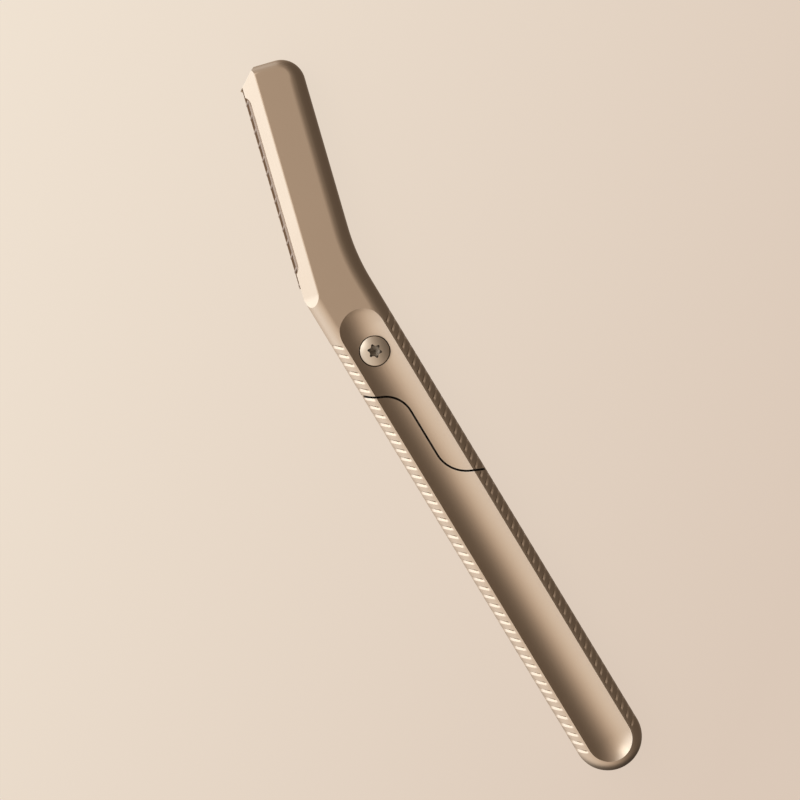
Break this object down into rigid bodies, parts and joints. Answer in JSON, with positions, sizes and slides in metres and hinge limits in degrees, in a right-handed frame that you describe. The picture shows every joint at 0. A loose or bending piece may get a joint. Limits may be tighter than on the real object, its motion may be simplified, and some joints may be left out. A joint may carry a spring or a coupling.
{
  "type": "eyebrow razor",
  "caption": "Slim metal eyebrow razor with a ribbed, grooved handle, an angled head holding a guarded straight blade, and a front jaw that swings open about a screw to change the blade.",
  "frame": {"origin": "On the pivot screw's axis, at the plane of the flat back that the razor lies on", "axes": "+Z is the front normal, away from the flat back; +Y runs along the handle towards the head; +X is to the right seen from the front, and the blade edge is on the -X side of the head"},
  "size_m": [0.0222, 0.1498, 0.007],
  "materials": {
    "champagne_metal": "satin champagne plating on die-cast zinc",
    "screw_steel": "satin stainless steel",
    "spring_steel": "spring steel sheet",
    "blade_steel": "honed stainless blade steel",
    "guard_steel": "bright stamped stainless foil",
    "magnet_nickel": "nickel plating"
  },
  "bodies": {
    "handle": {"handle_body": "champagne_metal", "pivot_screw": "screw_steel", "pivot_sleeve": "screw_steel", "spring_washer": "spring_steel", "thrust_washer": "spring_steel", "blade": "blade_steel", "blade_guard": "guard_steel", "lower_blade_pin": "screw_steel", "upper_blade_pin": "screw_steel", "handle_magnet": "magnet_nickel"},
    "jaw": {"front_jaw": "champagne_metal", "jaw_magnet": "magnet_nickel"}
  },
  "joints": [
    {"name": "jaw_swing", "type": "hinge", "parent": "handle", "child": "jaw", "pos_m": [0, 0, 0.0035], "axis": [0, 0, 1], "range_deg": [0, 84]}
  ]
}
